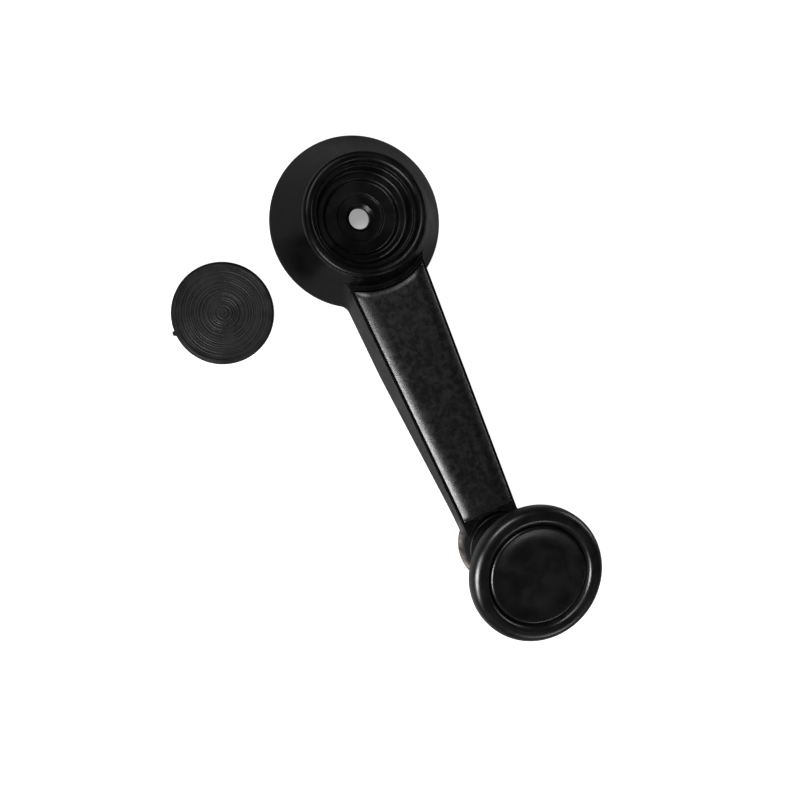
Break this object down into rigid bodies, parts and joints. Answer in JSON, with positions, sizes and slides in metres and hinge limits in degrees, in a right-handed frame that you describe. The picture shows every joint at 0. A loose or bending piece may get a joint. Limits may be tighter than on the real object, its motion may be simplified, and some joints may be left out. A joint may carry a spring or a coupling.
{
  "type": "window crank",
  "caption": "Hand crank for a door window: splined hub with a stepped bowl, tapering arm with a trim panel, turning knob, and a loose round screw cap.",
  "frame": {"origin": "hub axis in the plane of the hub's foot, where the crank meets the door", "axes": "+Z along the hub axis away from the door, +X along the arm from the hub to the knob"},
  "size_m": [0.136, 0.0777, 0.0391],
  "materials": {
    "moulded_black": "fine satin moulding grain",
    "panel_black": "satin, lightly grained",
    "knob_black": "smooth satin gloss",
    "cap_grey_black": "turned rings, matte",
    "zinc": "die-cast, dull",
    "plated_steel": "zinc plated",
    "spring_steel": "oiled black spring steel",
    "acetal": "natural acetal"
  },
  "bodies": {
    "crank": {"crank_body": "moulded_black", "arm_panel": "panel_black", "spline_insert": "zinc", "core_plate": "plated_steel", "core_screw_inner": "plated_steel", "core_screw_outer": "plated_steel", "knob_spindle": "plated_steel", "rivet_washer": "plated_steel", "neck_collar": "moulded_black", "thrust_washer": "acetal", "wave_washer": "spring_steel", "top_washer": "plated_steel", "push_nut": "spring_steel"},
    "knob": {"knob_body": "knob_black", "knob_bush": "acetal", "knob_face": "knob_black"},
    "cap": {"hub_cap": "cap_grey_black"}
  },
  "joints": [
    {"name": "knob_spin", "type": "hinge", "parent": "crank", "child": "knob", "pos_m": [0.0927, 0, 0.0113], "axis": [0.1736, 0, 0.9848], "continuous": true},
    {"name": "cap_lift", "type": "slide", "parent": "crank", "child": "cap", "axis": [0, 0, 1], "range_m": [0, 0.035]}
  ]
}
